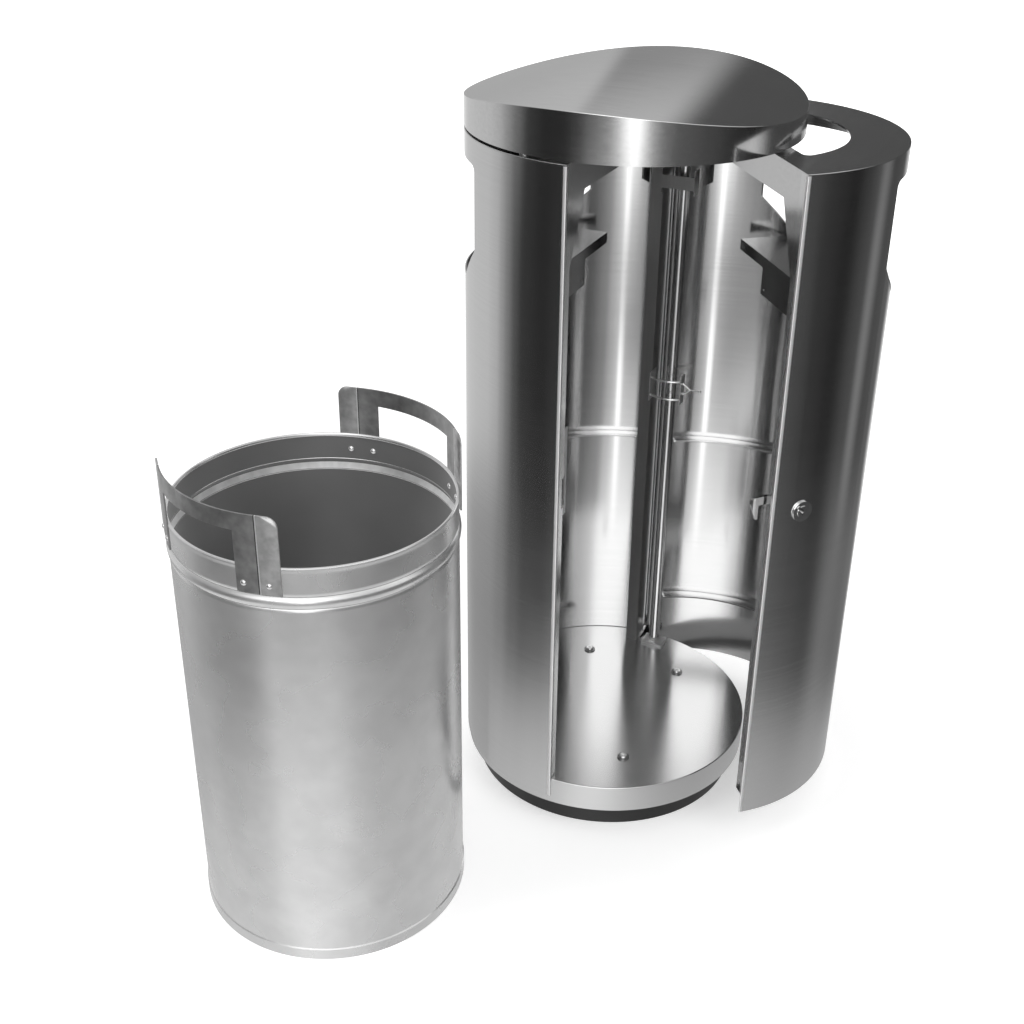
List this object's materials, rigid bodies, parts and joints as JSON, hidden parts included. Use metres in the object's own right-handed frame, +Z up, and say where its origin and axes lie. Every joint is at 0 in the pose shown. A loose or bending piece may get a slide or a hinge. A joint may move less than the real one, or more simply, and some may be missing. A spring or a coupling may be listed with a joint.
{
  "type": "ashtray waste bin",
  "caption": "Round steel litter bin in two halves with throw-in slots, an arched roof, a hinged door swung open, and its handled inner liner standing beside it.",
  "frame": {"origin": "centre of the round shell's footprint, on the floor", "axes": "+Z up, -Y towards the front seam between the two halves, +X towards the door's side"},
  "size_m": [0.7347, 0.8369, 1.0065],
  "materials": {
    "brushed_steel": "vertical brushed grain",
    "bright_steel": "polished",
    "zinc_sheet": "dull zinc-coated steel",
    "dark_steel": "dark, slightly glossy",
    "black_rubber": "smooth, slightly glossy"
  },
  "bodies": {
    "housing": {"foot": "black_rubber", "floor_pan": "brushed_steel", "floor_washers": "dark_steel", "floor_screws": "bright_steel", "left_panel": "brushed_steel", "left_top_plate": "brushed_steel", "left_sill": "brushed_steel", "left_sill_rivets": "bright_steel", "left_band": "brushed_steel", "left_post": "brushed_steel", "keeper": "brushed_steel", "keeper_rivets": "bright_steel", "hinge_clip": "bright_steel", "hinge_strap": "brushed_steel", "strap_bolts": "dark_steel", "pivot_foot": "brushed_steel", "pivot_pin_lower": "bright_steel", "pivot_plate_upper": "brushed_steel", "pivot_pin_upper": "bright_steel", "roof": "brushed_steel", "roof_ring": "brushed_steel", "roof_spacers": "bright_steel", "roof_screws": "bright_steel", "liner_wall": "zinc_sheet", "liner_base": "zinc_sheet", "liner_handle_front": "zinc_sheet", "liner_handle_back": "zinc_sheet", "liner_rivets": "bright_steel"},
    "door": {"door_panel": "brushed_steel", "door_top_plate": "brushed_steel", "door_sill": "brushed_steel", "door_sill_rivets": "bright_steel", "door_band_upper": "brushed_steel", "door_band_lower": "brushed_steel", "hinge_tube": "brushed_steel", "hinge_web": "brushed_steel", "lock_sleeve": "bright_steel", "lock_nut": "bright_steel"},
    "latch": {"lock_plug": "bright_steel", "latch_hook": "dark_steel", "latch_screw": "bright_steel"}
  },
  "joints": [
    {"name": "door_swing", "type": "hinge", "parent": "housing", "child": "door", "pos_m": [0.0111, 0.1862, 0], "axis": [0, 0, 1], "range_deg": [-39, 31]},
    {"name": "latch_turn", "type": "hinge", "parent": "door", "child": "latch", "pos_m": [0.27452, -0.09045, 0.519], "axis": [-0.7782, 0.628, 0], "range_deg": [-12, 0]}
  ]
}
